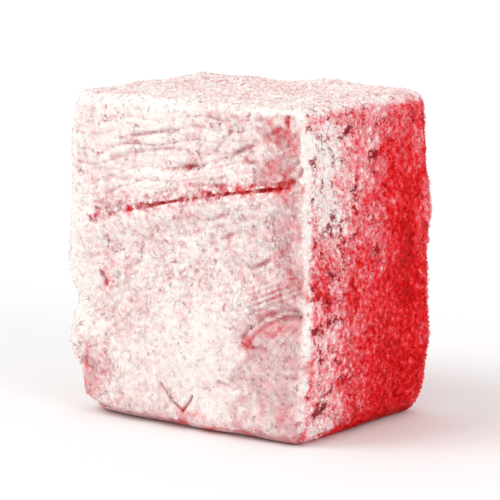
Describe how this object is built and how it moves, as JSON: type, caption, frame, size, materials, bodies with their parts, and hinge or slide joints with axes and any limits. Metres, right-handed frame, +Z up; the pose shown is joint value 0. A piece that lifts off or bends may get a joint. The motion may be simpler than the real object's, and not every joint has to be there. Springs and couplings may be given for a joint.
{
  "type": "turkish delight cube",
  "caption": "Soft starch jelly sweet in a rounded block, dusted with fine sugar and starch, with a deep fold and drag wrinkles across its wide front face; rests on its flat cut base.",
  "frame": {"origin": "centre of the bounding box at its base, on the surface the piece stands on", "axes": "+Z up; -Y is the wide front face with the deep fold; +X is the narrow right face"},
  "size_m": [0.025, 0.0196, 0.0273],
  "materials": {
    "dusted_jelly": "translucent red starch jelly under an uneven coat of white icing sugar and starch, matt where the coat is thick and faintly glossy where it is bare"
  },
  "bodies": {
    "root": {"turkish_delight_cube": "dusted_jelly"}
  },
  "joints": []
}
